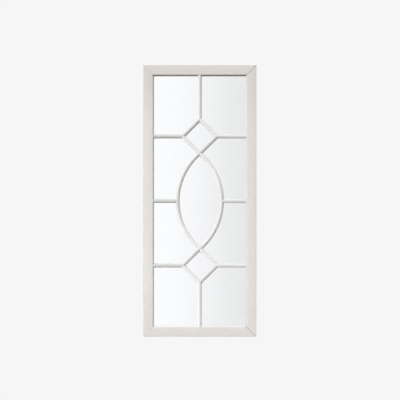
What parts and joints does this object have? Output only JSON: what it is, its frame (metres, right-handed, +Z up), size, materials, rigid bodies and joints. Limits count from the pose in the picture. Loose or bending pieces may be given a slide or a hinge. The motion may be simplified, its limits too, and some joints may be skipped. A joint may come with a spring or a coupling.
{
  "type": "garden wall mirror",
  "caption": "Tall wall mirror in a mitred limed timber frame, with half-round glazing bars forming a pointed lens between diamonds, hung from rings on the back.",
  "frame": {"origin": "centre of the wall plane behind the mirror, half way up", "axes": "+Z up, the mirror faces -Y, +X to the right seen from the front; the wall is the plane Y = 0"},
  "size_m": [0.5, 0.024, 1.2],
  "materials": {
    "limed_frame": "limed, warm off-white over fine straight grain, matt",
    "limed_bars": "limed, cream-white, satin on the crown of the half round",
    "mirror": "silvered float glass with ground edges",
    "hardboard": "brown hardboard, fine flecked face",
    "zinc_plate": "zinc-plated, dull spangle",
    "button_steel": "zinc-plated, stamped",
    "screw_steel": "zinc-plated wire",
    "ring_steel": "bright nickel-plated wire",
    "nail_steel": "plain steel strip",
    "pad_rubber": "moulded rubber, matt"
  },
  "bodies": {
    "frame": {"top_rail": "limed_frame", "bottom_rail": "limed_frame", "left_stile": "limed_frame", "right_stile": "limed_frame", "mitre_nails": "nail_steel", "mirror_glass": "mirror", "backboard": "hardboard", "top_bar": "limed_bars", "bottom_bar": "limed_bars", "upper_left_bar": "limed_bars", "upper_right_bar": "limed_bars", "middle_left_bar": "limed_bars", "middle_right_bar": "limed_bars", "lower_left_bar": "limed_bars", "lower_right_bar": "limed_bars", "upper_diamond_top_left": "limed_bars", "upper_diamond_top_right": "limed_bars", "upper_diamond_bottom_left": "limed_bars", "upper_diamond_bottom_right": "limed_bars", "lower_diamond_top_left": "limed_bars", "lower_diamond_top_right": "limed_bars", "lower_diamond_bottom_left": "limed_bars", "lower_diamond_bottom_right": "limed_bars", "lens_left_bar": "limed_bars", "lens_right_bar": "limed_bars", "corner_braces": "zinc_plate", "left_hanger_strap": "zinc_plate", "right_hanger_strap": "zinc_plate", "brace_screws": "screw_steel", "turn_button_screws": "screw_steel", "hanger_screws": "screw_steel", "wall_pads": "pad_rubber"},
    "turn_button_top": {"turn_button_top": "button_steel"},
    "turn_button_bottom": {"turn_button_bottom": "button_steel"},
    "turn_button_left_upper": {"turn_button_left_upper": "button_steel"},
    "turn_button_left_middle": {"turn_button_left_middle": "button_steel"},
    "turn_button_left_lower": {"turn_button_left_lower": "button_steel"},
    "turn_button_right_upper": {"turn_button_right_upper": "button_steel"},
    "turn_button_right_middle": {"turn_button_right_middle": "button_steel"},
    "turn_button_right_lower": {"turn_button_right_lower": "button_steel"},
    "left_hanger_ring": {"left_hanger_ring": "ring_steel"},
    "right_hanger_ring": {"right_hanger_ring": "ring_steel"}
  },
  "joints": [
    {"name": "turn_button_top_turn", "type": "hinge", "parent": "frame", "child": "turn_button_top", "pos_m": [0, -0.00505, 0.575], "axis": [0, 1, 0], "continuous": true},
    {"name": "turn_button_bottom_turn", "type": "hinge", "parent": "frame", "child": "turn_button_bottom", "pos_m": [0, -0.00505, -0.575], "axis": [0, 1, 0], "continuous": true},
    {"name": "turn_button_left_upper_turn", "type": "hinge", "parent": "frame", "child": "turn_button_left_upper", "pos_m": [-0.225, -0.00505, 0.33], "axis": [0, 1, 0], "continuous": true},
    {"name": "turn_button_left_middle_turn", "type": "hinge", "parent": "frame", "child": "turn_button_left_middle", "pos_m": [-0.225, -0.00505, 0], "axis": [0, 1, 0], "continuous": true},
    {"name": "turn_button_left_lower_turn", "type": "hinge", "parent": "frame", "child": "turn_button_left_lower", "pos_m": [-0.225, -0.00505, -0.33], "axis": [0, 1, 0], "continuous": true},
    {"name": "turn_button_right_upper_turn", "type": "hinge", "parent": "frame", "child": "turn_button_right_upper", "pos_m": [0.225, -0.00505, 0.33], "axis": [0, 1, 0], "continuous": true},
    {"name": "turn_button_right_middle_turn", "type": "hinge", "parent": "frame", "child": "turn_button_right_middle", "pos_m": [0.225, -0.00505, 0], "axis": [0, 1, 0], "continuous": true},
    {"name": "turn_button_right_lower_turn", "type": "hinge", "parent": "frame", "child": "turn_button_right_lower", "pos_m": [0.225, -0.00505, -0.33], "axis": [0, 1, 0], "continuous": true},
    {"name": "left_hanger_ring_swing", "type": "hinge", "parent": "frame", "child": "left_hanger_ring", "pos_m": [-0.2325, -0.0032, 0.4], "axis": [1, 0, 0], "range_deg": [0, 180]},
    {"name": "right_hanger_ring_swing", "type": "hinge", "parent": "frame", "child": "right_hanger_ring", "pos_m": [0.2325, -0.0032, 0.4], "axis": [1, 0, 0], "range_deg": [0, 180]}
  ]
}
